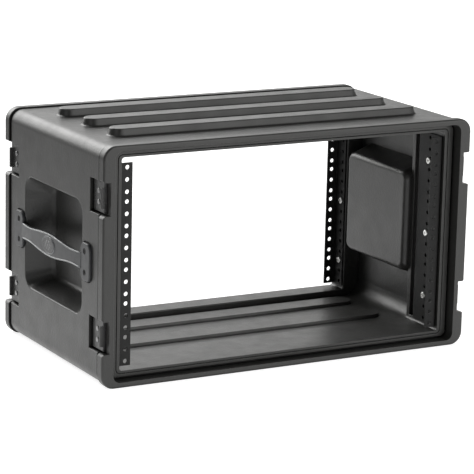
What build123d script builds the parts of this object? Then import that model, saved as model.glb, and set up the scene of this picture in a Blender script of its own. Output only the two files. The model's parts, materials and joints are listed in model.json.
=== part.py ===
"""Six-unit shallow roto-moulded rack case: open-ended shell, four rack rails,
two strap handles and eight latch keepers.

Frame: millimetres, +X to the case's right seen from the front, +Y to the rear,
+Z up. The origin is the centre of the footprint on the surface the case stands on.
"""
import os

from build123d import *

# ---------------------------------------------------------------- shell
CASE_W = 550.0          # over the rim bands
CASE_D = 312.0          # rim plane to rim plane
CASE_H = 316.0          # underside to rim band top, without the stacking ribs
CORNER_R = 18.0         # outer corner, seen from the front
MID_Z = CASE_H / 2
SKIN_SET = 2.0          # body skin lies this far inside the rim bands
BAND_LEN = 14.0         # rim band length along the depth
LINE_W = 3.2            # shadow line between band and skin
LINE_DEPTH = 2.8

OPEN_W, OPEN_H, OPEN_R = 486.0, 279.0, 4.0          # clear opening, both ends
REBATE_W, REBATE_H, REBATE_R = 517.4, 301.0, 10.0   # seat for a lid edge
REBATE_D = 15.0
SEAL_W, SEAL_D = 3.2, 6.0                           # groove round the rebate floor
CREASE_W, CREASE_D = 1.2, 1.2

ZONE_FRONT, ZONE_REAR = -62.0, 108.5                # between the thick end zones the case is wider
CAVITY_HALF_W = 268.0
CAVITY_Z0, CAVITY_Z1 = 9.5, 308.0
CAVITY_R = 24.0
STEP_R = 1.6            # moulded edge radius where the end zones step out
CHANNEL_Y0, CHANNEL_Y1 = -80.0, -70.0   # relief in the wall behind each front rail
CHANNEL_DEPTH = 4.0

# stacking ribs on top, matching grooves underneath
RIB_Y = (-77.0, 0.0, 77.0)
RIB_LEN, RIB_W, RIB_TOP = 464.0, 32.0, 324.0
RIB_TAPER = 16.0
NEST_CLEAR = 1.5
NEST_DEPTH = 9.0
RIB_COVE = 3.0          # hollow fillet where a rib meets the skin
FLOOR_RIDGE_Y = (0.0, 77.0)
FLOOR_RIDGE_H = 4.0

# ---------------------------------------------------------------- rack rails (EIA-310)
UNITS = 6
UNIT = 44.45
RACK_Z = 156.5          # centre of the rack height
RACK_HALF = 225.4       # inner edge of each rack flange
HOLE_X = 232.55         # 465.1 mm between the hole columns
RACK_Y = 136.35         # front face of the rack flanges, both ends
RAIL_LEN = 266.0
RAIL_T = 2.0
RAIL_OUT = OPEN_W / 2   # side flange lies on the zone wall
RAIL_BEND_R = 2.5
HOLE_R = 3.0
SIDE_HOLE_R = 2.6
SIDE_DEPTH = {"front": 53.0, "rear": 25.0}
SIDE_LINE = {"front": 28.0, "rear": 18.0}
SCREW_ROWS = (2, 9, 15)             # hole numbers from the top that carry a screw
SCREW_R, SCREW_HEAD_R, SCREW_HEAD_H, SCREW_LEN = 2.4, 4.7, 2.8, 12.0
INSERT_R, INSERT_LEN = 4.2, 12.0

# ---------------------------------------------------------------- handles
HANDLE_Z = RACK_Z + 1.0
MOUTH_Y, MOUTH_Z, MOUTH_R = 183.0, 154.0, 20.0
MOUTH_EDGE_R = 1.8
FLOOR_X = 237.0
FLOOR_Y, FLOOR_Z, FLOOR_R = (-54.0, 73.0), 126.0, 14.0
BOX_X = 232.0           # inner face of the bulge behind the pocket
BOX_Y, BOX_ROOT_Z, BOX_FACE_Z = (-66.0, 92.0), 166.0, 139.0
PLATE_Y, PLATE_W, PLATE_H, PLATE_T, PLATE_R = 105.0, 27.0, 50.0, 5.0, 9.0
PLATE_SET = 1.5
STRAP_T = 5.0
HANDLE_SCREW_Z = 14.0
BADGE_L, BADGE_H, BADGE_T = 36.0, 21.0, 0.8

# ---------------------------------------------------------------- latch keepers
KEEP_DZ = 90.0          # above and below the middle of the case
KEEP_FLOOR_X = 264.6
KEEP_Y0 = 112.0
KEEP_H = 43.0
KEEP_LIP = 3.4          # rounded lip above and below the recess mouth
STRIKE_Y, STRIKE_L, STRIKE_H, STRIKE_T = 129.5, 31.0, 40.0, 4.0
HOOK_T, HOOK_H, HOOK_RISE = 3.0, 27.0, 4.6          # raised edge that the latch hooks behind
RIVET_DZ, RIVET_R, RIVET_HEAD_R, RIVET_HEAD_H = 7.3, 2.0, 3.4, 1.3
RIVET_BITE = 4.0

SIDES = {"left": -1, "right": 1}
ENDS = {"front": -1, "rear": 1}


def hole_heights():
    """Heights of the rack holes, top first: 6.35, 22.225 and 38.1 mm into each unit."""
    top = RACK_Z + UNITS * UNIT / 2
    return [top - u * UNIT - 6.35 - 15.875 * j for u in range(UNITS) for j in range(3)]


def prism(w, h, r, y0, y1, z=MID_Z):
    """Rounded rectangle in the X-Z plane, run from y0 to y1."""
    profile = Plane.XZ.offset(-y0) * Pos(0, z) * RectangleRounded(w, h, r)
    return extrude(profile, amount=-(y1 - y0))


def ring(w, h, r, t, y0, y1):
    """Frame-shaped prism: outer outline w by h, t wide."""
    return prism(w, h, r, y0, y1) - prism(w - 2 * t, h - 2 * t, max(r - t, 0.5), y0, y1)


def side_plane(x, z=HANDLE_Z):
    """Sketch plane on a side of the case: local x runs along +Y, local y along +Z."""
    return Plane(origin=(x, 0, z), x_dir=(0, 1, 0), z_dir=(1, 0, 0))


def rod(x0, x1, y, z, r):
    """Round bar along X."""
    plane = Plane(origin=(min(x0, x1), y, z), x_dir=(0, 1, 0), z_dir=(1, 0, 0))
    return extrude(plane * Circle(r), amount=abs(x1 - x0))


def block(x0, x1, y0, y1, z0, z1):
    """Box from two corners given in any order."""
    size = (abs(x1 - x0), abs(y1 - y0), abs(z1 - z0))
    return Pos((x0 + x1) / 2, (y0 + y1) / 2, (z0 + z1) / 2) * Box(*size)


def rim_band(end):
    """Raised band round one end, rounded at the rim and eased at the shadow line."""
    face, back = end * CASE_D / 2, end * (CASE_D / 2 - BAND_LEN)
    band = prism(CASE_W, CASE_H, CORNER_R, min(face, back), max(face, back))
    band = fillet(band.faces().sort_by(Axis.Y)[-1 if end > 0 else 0].edges(), 3.0)
    return fillet(band.faces().sort_by(Axis.Y)[0 if end > 0 else -1].edges(), 0.8)


def rib(y):
    """One stacking rib: long rounded bar with sloping flanks."""
    base = CASE_H - SKIN_SET
    plan = Pos(0, y, base - 1) * SlotOverall(RIB_LEN, RIB_W)
    body = extrude(plan, amount=RIB_TOP - base + 1, taper=RIB_TAPER)
    return fillet(body.faces().sort_by(Axis.Z)[-1].edges(), 2.0)


def nest_groove(y):
    """Groove in the underside that takes the rib of the case below."""
    plan = SlotOverall(RIB_LEN + 2 * NEST_CLEAR, RIB_W + 2 * NEST_CLEAR)
    return extrude(Pos(0, y, 0) * plan, amount=NEST_DEPTH, taper=RIB_TAPER)


def pocket_bulge(side):
    """Solid behind the handle pocket that stands into the cavity."""
    middle, width = (BOX_Y[0] + BOX_Y[1]) / 2, BOX_Y[1] - BOX_Y[0]
    root = side_plane(side * (CAVITY_HALF_W + 3)) * Pos(middle, 0) * RectangleRounded(width, BOX_ROOT_Z, 9)
    face = side_plane(side * BOX_X) * Pos(middle, 0) * RectangleRounded(width, BOX_FACE_Z, 14)
    bulge = loft([root, face])
    tip = bulge.faces().sort_by(Axis.X)[0 if side > 0 else -1]
    return fillet(tip.edges(), 8.0)


def pocket(side):
    """Hand space cut in from the side."""
    middle, width = (FLOOR_Y[0] + FLOOR_Y[1]) / 2, FLOOR_Y[1] - FLOOR_Y[0]
    mouth = side_plane(side * CASE_W / 2) * RectangleRounded(MOUTH_Y, MOUTH_Z, MOUTH_R)
    floor = side_plane(side * FLOOR_X) * Pos(middle, 0) * RectangleRounded(width, FLOOR_Z, FLOOR_R)
    hollow = loft([mouth, floor])
    tip = hollow.faces().sort_by(Axis.X)[0 if side > 0 else -1]
    return fillet(tip.edges(), 9.0)


def keeper_recess(side, end, z):
    """Latch recess, open to the side and through the rim plane; its lips are rounded."""
    half = KEEP_H / 2
    skin = CASE_W / 2 - SKIN_SET
    lip = [(skin - 2.4, 0.0), (skin - 0.6, 0.5), (skin + 0.8, 1.4), (skin + 2.0, KEEP_LIP),
           (skin + 3.0, KEEP_LIP + 2.4)]
    below = [(x, -half - drop) for x, drop in lip]
    above = [(x, half + drop * 0.6) for x, drop in reversed(lip)]
    section = Polygon((KEEP_FLOOR_X, half), (KEEP_FLOOR_X, -half), *below, *above, align=None)
    cutter = extrude(Plane.XZ * section, amount=-(CASE_D / 2 + 1 - KEEP_Y0))
    cutter = Pos(0, KEEP_Y0, z) * cutter
    if end < 0:
        cutter = mirror(cutter, Plane.XZ)
    return cutter if side > 0 else mirror(cutter, Plane.YZ)


def handle_seats(side):
    """Shallow seats for the two end plates, each open to the pocket where the strap leaves it."""
    seats = []
    for y in (-PLATE_Y, PLATE_Y):
        seat = side_plane(side * (CASE_W / 2 - SKIN_SET - PLATE_SET))
        outline = Pos(y, 0) * RectangleRounded(PLATE_W + 3, PLATE_H + 4, PLATE_R + 2)
        outline += Pos(y * (1 - PLATE_W / 2 / PLATE_Y), 0) * RectangleRounded(14, 26, 3)
        seats.append(extrude(seat * outline, amount=side * 6))
    return seats


def handle_points():
    return [(y, HANDLE_Z + dz) for y in (-PLATE_Y + 1, PLATE_Y - 1)
            for dz in (-HANDLE_SCREW_Z, HANDLE_SCREW_Z)]


def rail_points(end_name):
    heights = hole_heights()
    y = ENDS[end_name] * (RACK_Y - SIDE_LINE[end_name])
    return [(y, heights[row]) for row in SCREW_ROWS]


def ribbed_skin():
    """Outer body between the rim bands, with stacking ribs and hand pockets."""
    skin_top = CASE_H - SKIN_SET
    solid = prism(CASE_W - 2 * SKIN_SET, CASE_H - 2 * SKIN_SET, CORNER_R - 1,
                  -CASE_D / 2 + 2, CASE_D / 2 - 2)
    for y in RIB_Y:
        solid += rib(y)
    feet = [e for e in solid.edges() if abs(e.center().Z - skin_top) < 0.01
            and abs(e.center().X) < RIB_LEN / 2 + 2 and abs(e.center().Y) < CASE_D / 2 - 20]
    solid = fillet(feet, RIB_COVE)
    for side in SIDES.values():
        solid -= pocket(side)
    mouths = [e for e in solid.edges() if abs(abs(e.center().X) - CASE_W / 2 + SKIN_SET) < 0.01
              and abs(e.center().Y) < MOUTH_Y / 2 and abs(e.center().Z - HANDLE_Z) < MOUTH_Z / 2]
    return fillet(mouths, MOUTH_EDGE_R)


def inner_space():
    """Through opening and the wider middle, less the floor ridges and pocket bulges."""
    cavity = prism(2 * CAVITY_HALF_W, CAVITY_Z1 - CAVITY_Z0, CAVITY_R, ZONE_FRONT, ZONE_REAR,
                   (CAVITY_Z0 + CAVITY_Z1) / 2)
    space = cavity + prism(OPEN_W, OPEN_H, OPEN_R, -CASE_D / 2 - 1, CASE_D / 2 + 1)
    steps = [e for e in space.edges()
             if min(abs(e.center().Y - ZONE_FRONT), abs(e.center().Y - ZONE_REAR)) < 0.01
             and abs(e.center().X) < RAIL_OUT + 0.5 and abs(e.center().Z - MID_Z) < OPEN_H / 2 + 0.5]
    space = fillet(steps, STEP_R)
    for side in SIDES.values():
        space += block(side * (RAIL_OUT - 1), side * (RAIL_OUT + CHANNEL_DEPTH), CHANNEL_Y0, CHANNEL_Y1,
                       MID_Z - OPEN_H / 2 + 6, MID_Z + OPEN_H / 2 - 6)
    for y in FLOOR_RIDGE_Y:
        space -= extrude(Pos(0, y, CAVITY_Z0 - 1) * SlotOverall(RIB_LEN + 6, RIB_W + 3),
                         amount=FLOOR_RIDGE_H + 1, taper=RIB_TAPER)
    for side in SIDES.values():
        space -= pocket_bulge(side)
    return space


def make_shell():
    half_d = CASE_D / 2
    solid = ribbed_skin()
    for end in ENDS.values():
        solid += rim_band(end)
    solid -= inner_space()

    for end in ENDS.values():
        face, seat = end * (half_d + 1), end * (half_d - REBATE_D)
        y0, y1 = min(face, seat), max(face, seat)
        solid -= prism(REBATE_W, REBATE_H, REBATE_R, y0, y1)
        deep = end * (half_d - REBATE_D - SEAL_D)
        solid -= ring(REBATE_W, REBATE_H, REBATE_R, SEAL_W, min(deep, seat), max(deep, seat))
        crease = end * (half_d - REBATE_D - CREASE_D)
        solid -= ring(REBATE_W - 20.2, REBATE_H - 13.4, 7.0, CREASE_W, min(crease, seat), max(crease, seat))
        line0 = end * (half_d - BAND_LEN)
        line1 = end * (half_d - BAND_LEN - LINE_W)
        solid -= ring(CASE_W + 2, CASE_H + 2, CORNER_R + 1, 1 + SKIN_SET + LINE_DEPTH,
                      min(line0, line1), max(line0, line1))

    for y in RIB_Y:
        solid -= nest_groove(y)

    for side in SIDES.values():
        for seat in handle_seats(side):
            solid -= seat
        for y, z in handle_points():
            solid -= rod(side * 275, side * 258, y, z, 2.0)
        for end_name, end in ENDS.items():
            for z in (MID_Z - KEEP_DZ, MID_Z + KEEP_DZ):
                solid -= keeper_recess(side, end, z)
                for dz in (-RIVET_DZ, RIVET_DZ):
                    solid -= rod(side * KEEP_FLOOR_X, side * (KEEP_FLOOR_X - RIVET_BITE),
                                 end * STRIKE_Y, z + dz, RIVET_R)
            for y, z in rail_points(end_name):
                solid -= rod(side * RAIL_OUT, side * (RAIL_OUT + INSERT_LEN), y, z, INSERT_R)
    return solid


def make_rail(side, end_name):
    """L-section steel rail: rack flange across the opening, side flange on the wall."""
    end = ENDS[end_name]
    face = end * RACK_Y
    back = end * (RACK_Y - SIDE_DEPTH[end_name])
    z0, z1 = RACK_Z - RAIL_LEN / 2, RACK_Z + RAIL_LEN / 2
    rack = block(side * RACK_HALF, side * RAIL_OUT, face, face - end * RAIL_T, z0, z1)
    wall = block(side * RAIL_OUT, side * (RAIL_OUT - RAIL_T), face, back, z0, z1)
    rail = rack + wall
    corner = [e for e in rail.edges().filter_by(Axis.Z)
              if abs(e.center().X - side * RAIL_OUT) < 0.01 and abs(e.center().Y - face) < 0.01]
    rail = fillet(corner, RAIL_BEND_R)
    line = end * (RACK_Y - SIDE_LINE[end_name])
    for z in hole_heights():
        drill = Plane(origin=(side * HOLE_X, face + end, z), z_dir=(0, -end, 0))
        rail -= extrude(drill * Circle(HOLE_R), amount=RAIL_T + 2)
        rail -= rod(side * (RAIL_OUT - RAIL_T - 1), side * (RAIL_OUT + 1), line, z, SIDE_HOLE_R)
    return rail


def pan_screw(side, seat_x, y, z, r, head_r, head_h, length, way):
    """Screw along X: way = +1 drives toward +X. The head has a cross recess."""
    shank = rod(seat_x, seat_x + way * length, y, z, r)
    head = rod(seat_x - way * head_h, seat_x, y, z, head_r)
    rim = [e for e in head.edges() if abs(e.center().X - (seat_x - way * head_h)) < 0.01]
    head = fillet(rim, head_h * 0.45)
    deep = (seat_x - way * head_h - way, seat_x - way * head_h * 0.45)
    arm, half = head_r * 0.55, head_r * 0.12
    head -= block(*deep, y - arm, y + arm, z - half, z + half)
    head -= block(*deep, y - half, y + half, z - arm, z + arm)
    return head + shank


def rail_screws(side, end_name):
    seat = side * (RAIL_OUT - RAIL_T)
    return [pan_screw(side, seat, y, z, SCREW_R, SCREW_HEAD_R, SCREW_HEAD_H, SCREW_LEN, side)
            for y, z in rail_points(end_name)]


def rail_inserts(side, end_name):
    """Threaded bushes moulded into the wall behind the rail."""
    bushes = []
    for y, z in rail_points(end_name):
        bush = rod(side * RAIL_OUT, side * (RAIL_OUT + INSERT_LEN), y, z, INSERT_R)
        bushes.append(bush - rod(side * RAIL_OUT, side * (RAIL_OUT + INSERT_LEN - 1), y, z, SCREW_R))
    return bushes


def strap_outline():
    """Strap seen from the side: narrow by the plates, swelling to the badge."""
    reach = PLATE_Y - PLATE_W / 2 + 2
    upper = [(-reach, 10.8), (-62, 9.8), (-36, 12.4), (0, 15.0), (36, 12.4), (62, 9.8), (reach, 10.8)]
    lower = [(y, -z) for y, z in reversed(upper)]
    edge = Spline(*upper) + Line(upper[-1], lower[0]) + Spline(*lower) + Line(lower[-1], upper[0])
    return make_face(edge)


def make_handle(side):
    """Rubber-covered strap with a plate at each end, arched clear of the case side."""
    skin = side * (CASE_W / 2 - SKIN_SET)
    seat = skin - side * PLATE_SET
    front = seat + side * PLATE_T
    back = side_plane(front - side * (STRAP_T - 0.6))
    grip = extrude(back * strap_outline(), amount=side * (STRAP_T + 6))
    # arch: keep only the curved band between two arcs seen from above
    reach, rise = PLATE_Y, 3.4
    low = ThreePointArc((seat + side * 0.4, -reach), (seat + side * (rise - 0.2), 0),
                        (seat + side * 0.4, reach))
    high = ThreePointArc((front - side * 0.4, -reach), (front + side * rise, 0),
                         (front - side * 0.4, reach))
    ends = Line(low @ 1, high @ 1) + Line(low @ 0, high @ 0)
    band = extrude(Plane.XY.offset(HANDLE_Z - 30) * make_face(low + high + ends), amount=60)
    grip = grip & band
    for y in (-PLATE_Y, PLATE_Y):
        outline = side_plane(seat) * Pos(y, 0) * RectangleRounded(PLATE_W, PLATE_H, PLATE_R)
        plate = extrude(outline, amount=side * PLATE_T)
        outer = plate.faces().sort_by(Axis.X)[-1 if side > 0 else 0]
        grip += fillet(outer.edges(), 1.6)
    for y, z in handle_points():
        grip -= rod(seat - side, front + side, y, z, 2.3)
        grip -= rod(front - side * 2.6, front + side * 3, y, z, 4.1)
    return grip


def handle_screws(side):
    front = side * (CASE_W / 2 - SKIN_SET - PLATE_SET + PLATE_T)
    seat = front - side * 2.6
    return [pan_screw(side, seat, y, z, 2.0, 3.8, 2.3, 14.0, -side) for y, z in handle_points()]


def make_badge(side):
    """Plain oval pad on the crown of the strap."""
    crown = side * (CASE_W / 2 - SKIN_SET - PLATE_SET + PLATE_T + 3.4)
    outline = side_plane(crown - side * 2) * Ellipse(BADGE_L / 2, BADGE_H / 2)
    pad = extrude(outline, amount=side * (2 + BADGE_T))
    outer = pad.faces().sort_by(Axis.X)[-1 if side > 0 else 0]
    return fillet(outer.edges(), 0.5)


def make_strike(side, end, z):
    """Keeper plate with a raised edge the latch hooks behind, held by two rivets."""
    floor = side * KEEP_FLOOR_X
    y = end * STRIKE_Y
    plate = block(floor, floor + side * STRIKE_T, y - STRIKE_L / 2, y + STRIKE_L / 2,
                  z - STRIKE_H / 2, z + STRIKE_H / 2)
    outer = plate.faces().sort_by(Axis.X)[-1 if side > 0 else 0]
    plate = fillet(outer.edges(), 1.0)
    rim = y + end * STRIKE_L / 2
    hook = block(floor, floor + side * (STRIKE_T + HOOK_RISE), rim, rim - end * HOOK_T,
                 z - HOOK_H / 2, z + HOOK_H / 2)
    crest = hook.faces().sort_by(Axis.X)[-1 if side > 0 else 0]
    plate += fillet(crest.edges(), 1.0)
    for dz in (-RIVET_DZ, RIVET_DZ):
        plate -= rod(floor - side, floor + side * (STRIKE_T + 1), y, z + dz, RIVET_R)
    return plate


def strike_rivets(side, end, z):
    rivets = []
    for dz in (-RIVET_DZ, RIVET_DZ):
        top = side * (KEEP_FLOOR_X + STRIKE_T)
        shank = rod(side * (KEEP_FLOOR_X - RIVET_BITE), top, end * STRIKE_Y, z + dz, RIVET_R)
        head = rod(top, top + side * RIVET_HEAD_H, end * STRIKE_Y, z + dz, RIVET_HEAD_R)
        rim = [e for e in head.edges() if abs(e.center().X - (top + side * RIVET_HEAD_H)) < 0.01]
        rivets.append(shank + fillet(rim, 0.9))
    return rivets


def save(name, shape):
    body = Compound(children=list(shape)) if isinstance(shape, list) else shape
    body.label = name
    export_step(body, os.path.join("parts", name + ".step"))


def main():
    os.makedirs("parts", exist_ok=True)
    save("shell_body", make_shell())
    for side_name, side in SIDES.items():
        handle = make_handle(side)
        badge = make_badge(side) - handle
        save(f"{side_name}_handle", handle)
        save(f"{side_name}_handle_badge", badge)
        save(f"{side_name}_handle_screws", handle_screws(side))
        for end_name, end in ENDS.items():
            tag = f"{end_name}_{side_name}"
            save(f"{tag}_rail", make_rail(side, end_name))
            save(f"{tag}_rail_screws", rail_screws(side, end_name))
            save(f"{tag}_rail_inserts", rail_inserts(side, end_name))
            for level, z in (("lower", MID_Z - KEEP_DZ), ("upper", MID_Z + KEEP_DZ)):
                save(f"{tag}_{level}_keeper", make_strike(side, end, z))
                save(f"{tag}_{level}_keeper_rivets", strike_rivets(side, end, z))


main()
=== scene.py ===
"""Look of the six-unit rack case: materials, handles with their moulded beads, floor, light and camera."""
import json
import math

import bmesh
import bpy
from mathutils import Matrix, Vector


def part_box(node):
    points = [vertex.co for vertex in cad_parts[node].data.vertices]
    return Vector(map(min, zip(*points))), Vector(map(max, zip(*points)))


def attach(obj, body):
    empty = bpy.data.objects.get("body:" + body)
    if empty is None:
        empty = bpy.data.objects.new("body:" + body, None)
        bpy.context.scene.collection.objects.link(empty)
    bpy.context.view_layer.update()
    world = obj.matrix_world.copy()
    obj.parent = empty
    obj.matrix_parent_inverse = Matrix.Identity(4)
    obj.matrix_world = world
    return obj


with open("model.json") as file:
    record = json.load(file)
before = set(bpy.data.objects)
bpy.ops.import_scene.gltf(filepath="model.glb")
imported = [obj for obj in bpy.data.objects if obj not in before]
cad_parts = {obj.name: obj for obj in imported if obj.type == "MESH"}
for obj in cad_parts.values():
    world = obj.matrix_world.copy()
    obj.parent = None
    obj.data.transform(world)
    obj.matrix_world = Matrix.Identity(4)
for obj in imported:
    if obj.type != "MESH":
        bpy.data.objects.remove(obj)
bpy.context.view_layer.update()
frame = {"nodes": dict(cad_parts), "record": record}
scene = bpy.context.scene
SLOT_OF = {s["node"]: s["material_slot"] for s in frame["record"]["subparts"]}


# ---------------------------------------------------------------- node helpers
class Tree:
    """Small wrapper that adds nodes and joins them by socket name."""

    def __init__(self, name):
        self.mat = bpy.data.materials.new(name)
        self.mat.use_nodes = True
        self.tree = self.mat.node_tree
        self.tree.nodes.clear()
        self.out = self.add("ShaderNodeOutputMaterial")
        self.shader = self.add("ShaderNodeBsdfPrincipled")
        self.join(self.shader.outputs["BSDF"], self.out.inputs["Surface"])
        self.coord = self.add("ShaderNodeTexCoord").outputs["Object"]

    def add(self, kind, **props):
        node = self.tree.nodes.new(kind)
        for key, value in props.items():
            setattr(node, key, value)
        return node

    def join(self, a, b):
        if isinstance(a, bpy.types.NodeSocket):
            self.tree.links.new(a, b)
        else:
            b.default_value = a

    def noise(self, scale, detail=3.0, rough=0.55, stretch=None, distortion=0.0):
        coord = self.coord
        if stretch:
            mapping = self.add("ShaderNodeMapping")
            mapping.inputs["Scale"].default_value = stretch
            self.join(coord, mapping.inputs["Vector"])
            coord = mapping.outputs["Vector"]
        node = self.add("ShaderNodeTexNoise")
        self.join(coord, node.inputs["Vector"])
        node.inputs["Scale"].default_value = scale
        node.inputs["Detail"].default_value = detail
        node.inputs["Roughness"].default_value = rough
        node.inputs["Distortion"].default_value = distortion
        return node.outputs["Fac"]

    def axes(self):
        """Object coordinates as three separate values."""
        parts = self.add("ShaderNodeSeparateXYZ")
        self.join(self.coord, parts.inputs[0])
        return parts.outputs["X"], parts.outputs["Y"], parts.outputs["Z"]

    def cells(self, scale):
        node = self.add("ShaderNodeTexVoronoi")
        self.join(self.coord, node.inputs["Vector"])
        node.inputs["Scale"].default_value = scale
        return node.outputs["Distance"]

    def span(self, value, lo, hi, to_lo, to_hi):
        node = self.add("ShaderNodeMapRange")
        node.clamp = True
        self.join(value, node.inputs["Value"])
        for name, number in (("From Min", lo), ("From Max", hi), ("To Min", to_lo), ("To Max", to_hi)):
            node.inputs[name].default_value = number
        return node.outputs["Result"]

    def math(self, op, a, b=0.0):
        node = self.add("ShaderNodeMath", operation=op)
        self.join(a, node.inputs[0])
        self.join(b, node.inputs[1])
        return node.outputs[0]

    def mix(self, factor, a, b):
        node = self.add("ShaderNodeMix", data_type="RGBA")
        self.join(factor, node.inputs["Factor"])
        self.join(a, node.inputs["A"])
        self.join(b, node.inputs["B"])
        return node.outputs["Result"]

    def bump(self, height, distance, strength=1.0, normal=None):
        node = self.add("ShaderNodeBump")
        self.join(height, node.inputs["Height"])
        node.inputs["Distance"].default_value = distance
        node.inputs["Strength"].default_value = strength
        if normal is not None:
            self.join(normal, node.inputs["Normal"])
        return node.outputs["Normal"]

    def edges(self, radius):
        """Rounded-edge normal, and a mask that is 1 on convex or concave edges."""
        bevel = self.add("ShaderNodeBevel", samples=4)
        bevel.inputs["Radius"].default_value = radius
        geometry = self.add("ShaderNodeNewGeometry")
        dot = self.add("ShaderNodeVectorMath", operation="DOT_PRODUCT")
        self.join(bevel.outputs["Normal"], dot.inputs[0])
        self.join(geometry.outputs["Normal"], dot.inputs[1])
        mask = self.span(dot.outputs["Value"], 0.97, 0.75, 0.0, 1.0)
        return bevel.outputs["Normal"], mask

    def crease_shade(self, reach):
        """Mask for painted shade: 1 down in creases and corners narrower than reach, 0 on open surface."""
        node = self.add("ShaderNodeAmbientOcclusion", samples=6)
        node.inputs["Distance"].default_value = reach
        return self.span(node.outputs["AO"], 0.45, 0.85, 1.0, 0.0)


def grey(value, tint=(1.0, 1.0, 1.0)):
    return (value * tint[0], value * tint[1], value * tint[2], 1.0)


# ---------------------------------------------------------------- materials
HANDLE_Z, CASE_MIDDLE_Z = 0.1575, 0.158
PLASTIC_IOR = 1.5
BAR_PITCH, BAR_SLANT = 0.0066, 0.6          # bars in the badge
BAR_OVAL = (0.0125, 0.0060)                 # half width and half height of the area they fill
# Where the painted shade strip beside the rim bands lies, soft at its edges.
SHADE_STRIP_FROM, SHADE_STRIP_TO = (0.1356, 0.1368), (0.1419, 0.1422)       # along the depth, soft at both ends
SHADE_STRIP_X, SHADE_STRIP_Z = (0.262, 0.264), (0.1515, 0.153)              # only outside these half sizes


def slanted_bars(t):
    """Three slanted bars inside an oval: a plain mark for the badge, in colour and bump only."""
    _, y, height = t.axes()
    z = t.math("SUBTRACT", height, HANDLE_Z)
    slant = t.math("ADD", y, t.math("MULTIPLY", z, BAR_SLANT))
    bars = t.span(t.math("COSINE", t.math("MULTIPLY", slant, 2 * math.pi / BAR_PITCH)), 0.05, 0.45, 0, 1)
    far = t.math("ADD", t.math("POWER", t.math("DIVIDE", y, BAR_OVAL[0]), 2.0),
                 t.math("POWER", t.math("DIVIDE", z, BAR_OVAL[1]), 2.0))
    return t.math("MULTIPLY", bars, t.span(far, 0.85, 1.0, 1, 0))


def painted_groove_shade(t):
    """Painted shade: a darkened strip of skin beside each rim band, standing in for the shadow in the
    groove, which is too narrow to show at a slant.
    """
    x, y, z = t.axes()
    depth = t.math("ABSOLUTE", y)
    shade_strip = t.math("MULTIPLY", t.span(depth, *SHADE_STRIP_FROM, 0, 1), t.span(depth, *SHADE_STRIP_TO, 1, 0))
    wide = t.span(t.math("ABSOLUTE", x), *SHADE_STRIP_X, 0, 1)
    tall = t.span(t.math("ABSOLUTE", t.math("SUBTRACT", z, CASE_MIDDLE_Z)), *SHADE_STRIP_Z, 0, 1)
    return t.math("MULTIPLY", shade_strip, t.math("MAXIMUM", wide, tall))


def moulded_plastic(name, tone, tint, rough, edge_radius=0.0012, wear_and_highlight_amount=0.35, relief=None,
                    reach=0.002, shade_lines=None):
    """Moulded plastic or coated plate: mottled, faint orange peel, edges lightened as wear and painted
    highlight, creases darkened as painted shade.
    """
    t = Tree(name)
    edge_normal, edge_mask = t.edges(edge_radius)
    patches = t.span(t.noise(9, 4), 0.35, 0.65, 0, 1)
    mottled = t.mix(patches, grey(tone * 0.92, tint), grey(tone * 1.08, tint))
    speck = t.span(t.noise(1400, 1), 0.35, 0.7, 0, 1)
    speckled = t.mix(t.math("MULTIPLY", speck, 0.22), mottled, grey(tone * 1.7, tint))
    scuff = t.span(t.noise(34, 5, 0.7, (1, 0.25, 1), 0.6), 0.62, 0.8, 0, 0.30)
    scuffed = t.mix(scuff, speckled, grey(tone * 1.5, tint))
    # Painted shade in creases, from an ambient-occlusion mask.
    crease_shade = t.crease_shade(reach)
    if shade_lines:
        crease_shade = t.math("MAXIMUM", crease_shade, shade_lines(t))
    # Painted highlight with wear: edges outside creases are lightened towards seven times the tone.
    rubbed_and_lit_edges = t.math("MULTIPLY", edge_mask, t.span(crease_shade, 0.0, 0.5, 1.0, 0.0))
    wear_and_highlight = t.math("MULTIPLY", rubbed_and_lit_edges, t.span(t.noise(60, 4), 0.3, 0.7, 0.4 * wear_and_highlight_amount, wear_and_highlight_amount))
    lit = t.mix(wear_and_highlight, scuffed, grey(tone * 7.0, tint))
    t.join(t.span(t.noise(40, 4), 0.3, 0.7, rough - 0.05, rough + 0.06), t.shader.inputs["Roughness"])
    wave = t.bump(t.noise(7, 2), 0.0012, 0.6, edge_normal)
    peel = t.bump(t.noise(330, 3), 0.00030, 0.9, wave)
    grain = t.bump(t.noise(1500, 2), 0.00006, 0.8, peel)
    if relief:
        raised = relief(t)
        lit = t.mix(raised, lit, grey(tone * 3.2, tint))
        grain = t.bump(raised, 0.0006, 1.0, grain)
    # Painted shade: colour darkened and specular lowered in creases and in the strip beside the rim bands.
    crease_shaded = t.mix(t.math("MULTIPLY", crease_shade, 0.8), lit, grey(tone * 0.2, tint))
    t.join(crease_shaded, t.shader.inputs["Base Color"])
    t.join(t.span(crease_shade, 0.0, 1.0, 0.5, 0.12), t.shader.inputs["Specular IOR Level"])
    t.join(grain, t.shader.inputs["Normal"])
    t.shader.inputs["IOR"].default_value = PLASTIC_IOR
    return t.mat


def powder_coat(name, tone, rough):
    """Black powder coat with a fine pebbled texture."""
    t = Tree(name)
    edge_normal, edge_mask = t.edges(0.0005)
    pebble = t.cells(1100)
    base = t.mix(t.span(t.noise(18, 3), 0.3, 0.7, 0, 1), grey(tone * 0.85), grey(tone * 1.2))
    # Painted highlight with wear: edges lightened to a pale grey.
    wear_and_highlight = t.math("MULTIPLY", edge_mask, 0.45)
    t.join(t.mix(wear_and_highlight, base, grey(0.16)), t.shader.inputs["Base Color"])
    t.join(t.span(pebble, 0.0, 0.6, rough - 0.08, rough + 0.1), t.shader.inputs["Roughness"])
    t.join(t.bump(pebble, 0.00012, 0.8, edge_normal), t.shader.inputs["Normal"])
    t.shader.inputs["Specular IOR Level"].default_value = 0.30
    return t.mat


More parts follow.
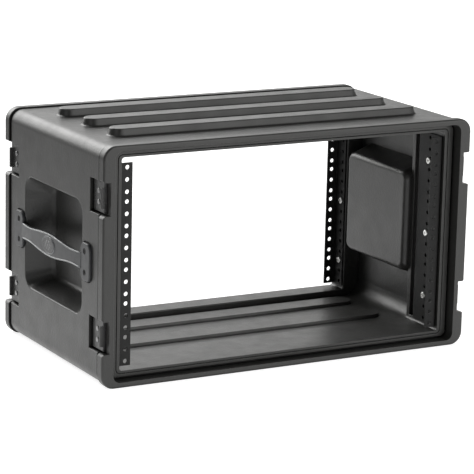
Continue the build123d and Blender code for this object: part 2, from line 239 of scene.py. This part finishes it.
def metal(name, colour, rough):
    """Plated or turned metal with fine tool marks and slight tarnish."""
    t = Tree(name)
    edge_normal, _ = t.edges(0.0003)
    marks = t.noise(2600, 2, 0.6)
    dull = tuple(c * 0.75 for c in colour[:3]) + (1.0,)
    t.join(t.mix(t.span(t.noise(350, 3), 0.4, 0.7, 0, 1), colour, dull), t.shader.inputs["Base Color"])
    t.join(t.span(marks, 0.3, 0.7, rough - 0.06, rough + 0.1), t.shader.inputs["Roughness"])
    t.join(t.bump(marks, 0.00002, 0.5, edge_normal), t.shader.inputs["Normal"])
    t.shader.inputs["Metallic"].default_value = 1.0
    return t.mat


def rubber(name, tone, tint, rough):
    """Smooth moulded rubber with a soft bloom and finely matted skin."""
    t = Tree(name)
    edge_normal, edge_mask = t.edges(0.0007)
    bloom = t.span(t.noise(55, 4, 0.6, (1, 0.5, 1)), 0.35, 0.7, 0, 1)
    base = t.mix(bloom, grey(tone * 0.9, tint), grey(tone * 1.14, tint))
    # Painted highlight with wear: edges lightened to over twice the tone.
    wear_and_highlight = t.mix(t.math("MULTIPLY", edge_mask, 0.4), base, grey(tone * 2.2, tint))
    t.join(wear_and_highlight, t.shader.inputs["Base Color"])
    t.join(t.span(t.noise(120, 3), 0.3, 0.7, rough - 0.05, rough + 0.05), t.shader.inputs["Roughness"])
    matted = t.bump(t.noise(1900, 2), 0.00003, 0.7, edge_normal)
    t.join(matted, t.shader.inputs["Normal"])
    t.shader.inputs["IOR"].default_value = PLASTIC_IOR
    return t.mat


MATERIALS = {
    "shell_plastic": moulded_plastic("shell_plastic", 0.024, (1.0, 1.0, 0.95), 0.34, 0.0012, 0.6,
                                     reach=0.005, shade_lines=painted_groove_shade),
    "badge_plastic": moulded_plastic("badge_plastic", 0.040, (0.98, 1.0, 1.03), 0.30, 0.0004, 0.5,
                                     relief=slanted_bars),
    "keeper_metal": moulded_plastic("keeper_metal", 0.034, (1.0, 1.0, 1.0), 0.30, 0.0008, 0.9),
    "rail_coat": powder_coat("rail_coat", 0.008, 0.50),
    "black_screw": powder_coat("black_screw", 0.004, 0.50),
    "rivet_metal": metal("rivet_metal", (0.30, 0.30, 0.30, 1), 0.34),
    "bright_screw": metal("bright_screw", (0.80, 0.80, 0.78, 1), 0.26),
    "insert_brass": metal("insert_brass", (0.70, 0.53, 0.27, 1), 0.32),
    "handle_rubber": rubber("handle_rubber", 0.040, (0.95, 1.0, 1.06), 0.38),
}
# Beads and badge ring: the strap's rubber painted five times lighter as a painted highlight, and smoother.
HIGHLIGHT_BEAD_RUBBER = rubber("polished_rubber_painted_highlight", 0.200, (0.97, 1.0, 1.04), 0.20)

for name, node in frame["nodes"].items():
    material = MATERIALS[SLOT_OF[name]]
    if node.data.materials:
        for i in range(len(node.data.materials)):
            node.data.materials[i] = material
    else:
        node.data.materials.append(material)


# ---------------------------------------------------------------- handle detail
def smooth_curve(points, samples):
    """Natural cubic spline through (t, value) points, sampled evenly."""
    ts = [p[0] for p in points]
    vs = [p[1] for p in points]
    n = len(ts)
    steps = [ts[i + 1] - ts[i] for i in range(n - 1)]
    slope2 = [0.0] * n
    for _ in range(400):
        for i in range(1, n - 1):
            a, b = steps[i - 1], steps[i]
            rhs = 6 * ((vs[i + 1] - vs[i]) / b - (vs[i] - vs[i - 1]) / a)
            slope2[i] = (rhs - a * slope2[i - 1] - b * slope2[i + 1]) / (2 * (a + b))
    result = []
    for k in range(samples + 1):
        t = ts[0] + (ts[-1] - ts[0]) * k / samples
        i = min(max(j for j in range(n - 1) if ts[j] <= t + 1e-9), n - 2)
        h, lo, hi = steps[i], ts[i + 1] - t, t - ts[i]
        value = (slope2[i] * lo ** 3 + slope2[i + 1] * hi ** 3) / (6 * h)
        value += (vs[i] / h - slope2[i] * h / 6) * lo + (vs[i + 1] / h - slope2[i + 1] * h / 6) * hi
        result.append((t, value))
    return result


def tube(name, path, radius, material, closed=False, sides=14):
    """Round tube along a path; an open one narrows at its ends."""
    bm = bmesh.new()
    rings = []
    count = len(path)
    for k, point in enumerate(path):
        before = path[(k - 1) % count] if closed or k else path[k]
        after = path[(k + 1) % count] if closed or k < count - 1 else path[k]
        way = (Vector(after) - Vector(before)).normalized()
        side = Vector((1, 0, 0))
        up = way.cross(side).normalized()
        shrink = 1.0
        if not closed:
            shrink = min(1.0, 0.35 + 0.3 * min(k, count - 1 - k))
        ring = []
        for j in range(sides):
            angle = 2 * math.pi * j / sides
            offset = side * (radius * math.cos(angle)) + up * (radius * math.sin(angle))
            ring.append(bm.verts.new(Vector(point) + offset * shrink))
        rings.append(ring)
    last = count if closed else count - 1
    for k in range(last):
        a, b = rings[k], rings[(k + 1) % count]
        for j in range(sides):
            bm.faces.new((a[j], a[(j + 1) % sides], b[(j + 1) % sides], b[j]))
    if not closed:
        bm.faces.new(rings[0])
        bm.faces.new(rings[-1])
    bmesh.ops.recalc_face_normals(bm, faces=bm.faces)
    mesh = bpy.data.meshes.new(name)
    bm.to_mesh(mesh)
    bm.free()
    for polygon in mesh.polygons:
        polygon.use_smooth = True
    mesh.materials.append(material)
    piece = bpy.data.objects.new(name, mesh)
    scene.collection.objects.link(piece)
    return piece


MM = 0.001
# handle sizes, millimetres
STRAP_HALF = [(-92, 10.6), (-62, 9.8), (-36, 12.4), (0, 15.0), (36, 12.4), (62, 9.8), (92, 10.6)]
PLATE_Y = 105.0         # end plates, either side of the middle
STRAP_RISE = 3.8        # crown of the strap over its ends
BEAD_R, BEAD_SINK, BEAD_INSET, BEAD_STEPS = 1.15, 0.45, 0.75, 96
RING_HALF_L, RING_HALF_H = 18.9, 11.3
RING_R, RING_SINK, RING_STEPS = 0.7, 0.75, 72


def outer_face(lo, hi):
    """How far the outer side of a box is from the case's middle, in millimetres."""
    return max(abs(lo.x), abs(hi.x)) / MM


def dress_handle(side, sign):
    """Beads along both edges of the strap and a ring round its badge."""
    lo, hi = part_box(side + "_handle")
    middle = (lo.z + hi.z) / 2
    crown = outer_face(lo, hi)
    for level, way in (("upper", 1), ("lower", -1)):
        path = []
        for y, half in smooth_curve(STRAP_HALF, BEAD_STEPS):
            x = crown - STRAP_RISE * (y / PLATE_Y) ** 2 - BEAD_SINK
            path.append((sign * x * MM, y * MM, middle + way * (half - BEAD_INSET) * MM))
        bead = tube(side + "_strap_bead_" + level, path, BEAD_R * MM, HIGHLIGHT_BEAD_RUBBER)
        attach(bead, "root")
    badge_lo, badge_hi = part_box(side + "_handle_badge")
    x = outer_face(badge_lo, badge_hi) - RING_SINK
    path = []
    for k in range(RING_STEPS):
        angle = 2 * math.pi * k / RING_STEPS
        y, z = RING_HALF_L * math.cos(angle), RING_HALF_H * math.sin(angle)
        path.append((sign * x * MM, y * MM, middle + z * MM))
    rim = tube(side + "_badge_ring", path, RING_R * MM, HIGHLIGHT_BEAD_RUBBER, closed=True)
    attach(rim, "root")


for side, sign in (("left", -1), ("right", 1)):
    dress_handle(side, sign)


# ---------------------------------------------------------------- floor, light, camera
CAMERA_PLACE = (-1.53430, -2.77856, 0.87848)
CAMERA_AZIMUTH, CAMERA_ELEVATION, CAMERA_ROLL = (math.radians(a) for a in (28.9518, 13.0484, 1.3604))
SENSOR_MM, LENS_MM = 36.0, 180.6835
FLOOR_REACH = 14.0
# Painted light: the floor glows on the sweep, and both its glow and its colour are painted darker beyond
# the sweep's left edge.
FLOOR_GLOW = 0.84
FLOOR_EDGE, FLOOR_DARK = (0.12, 0.36), 0.16     # slope of the sweep's left edge, and what is left beyond it
SKY_SEEN = 1.02                                 # plain white behind the case


def painted_floor_light(t):
    """Mask for painted light on the floor: 1 on the glowing sweep, which widens away from the camera's
    place, with a painted darker floor to its left.
    """
    floor_x, floor_y, _ = t.axes()
    x = t.math("SUBTRACT", floor_x, CAMERA_PLACE[0])
    y = t.math("SUBTRACT", floor_y, CAMERA_PLACE[1])
    sine, cosine = math.sin(CAMERA_AZIMUTH), math.cos(CAMERA_AZIMUTH)
    along = t.math("ADD", t.math("MULTIPLY", x, sine), t.math("MULTIPLY", y, cosine))
    left = t.math("SUBTRACT", t.math("MULTIPLY", y, sine), t.math("MULTIPLY", x, cosine))
    ratio = t.math("DIVIDE", left, t.math("MAXIMUM", along, 0.5))
    return t.span(ratio, *FLOOR_EDGE, 1.0, FLOOR_DARK)


def build_floor():
    mesh = bpy.data.meshes.new("studio_floor")
    corners = [(sx * FLOOR_REACH, sy * FLOOR_REACH, 0) for sx, sy in ((-1, -1), (1, -1), (1, 1), (-1, 1))]
    mesh.from_pydata(corners, [], [(0, 1, 2, 3)])
    floor = bpy.data.objects.new("studio_floor", mesh)
    scene.collection.objects.link(floor)
    t = Tree("studio_floor")
    paper = t.mix(t.span(t.noise(3, 3), 0.3, 0.7, 0, 1), grey(0.60), grey(0.64))
    # Painted light: glow on the sweep, darker colour beyond it.
    lit = painted_floor_light(t)
    t.join(t.mix(lit, grey(0.30), paper), t.shader.inputs["Base Color"])
    t.shader.inputs["Roughness"].default_value = 0.9
    t.shader.inputs["Specular IOR Level"].default_value = 0.1
    t.shader.inputs["Emission Color"].default_value = (1, 1, 1, 1)
    t.join(t.math("MULTIPLY", lit, FLOOR_GLOW), t.shader.inputs["Emission Strength"])
    mesh.materials.append(t.mat)


def softbox(name, place, aim, width, height, watts):
    light = bpy.data.lights.new(name, "AREA")
    light.shape = "RECTANGLE"
    light.size, light.size_y, light.energy = width, height, watts
    holder = bpy.data.objects.new(name, light)
    scene.collection.objects.link(holder)
    holder.location = place
    holder.rotation_euler = (Vector(aim) - Vector(place)).to_track_quat("-Z", "Y").to_euler()


AMBIENT = 0.12
# direction, cosine where it starts, cosine where it is full, strength
LOBES = (
    ((0.12, 1.0, 0.22), 0.70, 0.985, 1.05),
    ((-0.23, 0.85, 0.47), 0.86, 0.985, 3.6),
    ((-1.0, -0.10, 0.05), 0.35, 0.95, 0.10),
    ((1.0, -0.9, 0.15), 0.35, 0.95, 0.45),
    ((0.47, -0.84, 0.27), 0.80, 0.97, 1.70),
)
# name, place, aim, width, height, watts
SOFTBOXES = (
    ("back_top", (0.1, 2.2, 2.6), (0.0, 0.1, 0.0), 3.0, 2.0, 55),
    ("front_fill", (-2.6, -1.6, 1.7), (0.0, 0.0, 0.15), 1.4, 1.4, 5),
)


def build_light():
    """Dim room with bright lobes behind and to the front right; the camera itself sees plain white."""
    world = bpy.data.worlds.new("studio")
    scene.world = world
    world.use_nodes = True
    tree = world.node_tree
    background = tree.nodes["Background"]
    coord = tree.nodes.new("ShaderNodeTexCoord").outputs["Generated"]

    def lobe(direction, start, end, strength):
        dot = tree.nodes.new("ShaderNodeVectorMath")
        dot.operation = "DOT_PRODUCT"
        tree.links.new(coord, dot.inputs[0])
        dot.inputs[1].default_value = Vector(direction).normalized()
        ramp = tree.nodes.new("ShaderNodeMapRange")
        ramp.interpolation_type = "SMOOTHSTEP"
        tree.links.new(dot.outputs["Value"], ramp.inputs["Value"])
        settings = {"From Min": start, "From Max": end, "To Min": 0.0, "To Max": strength}
        for name, number in settings.items():
            ramp.inputs[name].default_value = number
        return ramp.outputs["Result"]

    total = None
    for args in LOBES:
        part = lobe(*args)
        if total is None:
            total = part
            continue
        add = tree.nodes.new("ShaderNodeMath")
        add.operation = "ADD"
        tree.links.new(total, add.inputs[0])
        tree.links.new(part, add.inputs[1])
        total = add.outputs[0]
    base = tree.nodes.new("ShaderNodeMath")
    base.operation = "ADD"
    tree.links.new(total, base.inputs[0])
    base.inputs[1].default_value = AMBIENT
    seen = tree.nodes.new("ShaderNodeMix")
    seen.data_type = "FLOAT"
    ray = tree.nodes.new("ShaderNodeLightPath")
    tree.links.new(ray.outputs["Is Camera Ray"], seen.inputs["Factor"])
    tree.links.new(base.outputs[0], seen.inputs["A"])
    seen.inputs["B"].default_value = SKY_SEEN
    tree.links.new(seen.outputs["Result"], background.inputs["Strength"])
    background.inputs["Color"].default_value = (1.0, 1.0, 0.985, 1)
    for args in SOFTBOXES:
        softbox(*args)
    scene.view_settings.view_transform = "Standard"


def build_camera():
    level = Vector((math.sin(CAMERA_AZIMUTH), math.cos(CAMERA_AZIMUTH), 0))
    look = level * math.cos(CAMERA_ELEVATION) - Vector((0, 0, math.sin(CAMERA_ELEVATION)))
    right = Vector((level.y, -level.x, 0))
    up = right.cross(look)
    c, s = math.cos(CAMERA_ROLL), math.sin(CAMERA_ROLL)
    x_axis, y_axis = c * right + s * up, -s * right + c * up
    camera = bpy.data.cameras.new("camera")
    camera.sensor_width = SENSOR_MM
    camera.lens = LENS_MM
    camera.clip_end = 60
    holder = bpy.data.objects.new("camera", camera)
    scene.collection.objects.link(holder)
    basis = Matrix((x_axis, y_axis, -look)).transposed().to_4x4()
    holder.matrix_world = Matrix.Translation(CAMERA_PLACE) @ basis
    scene.camera = holder


build_floor()
build_light()
build_camera()
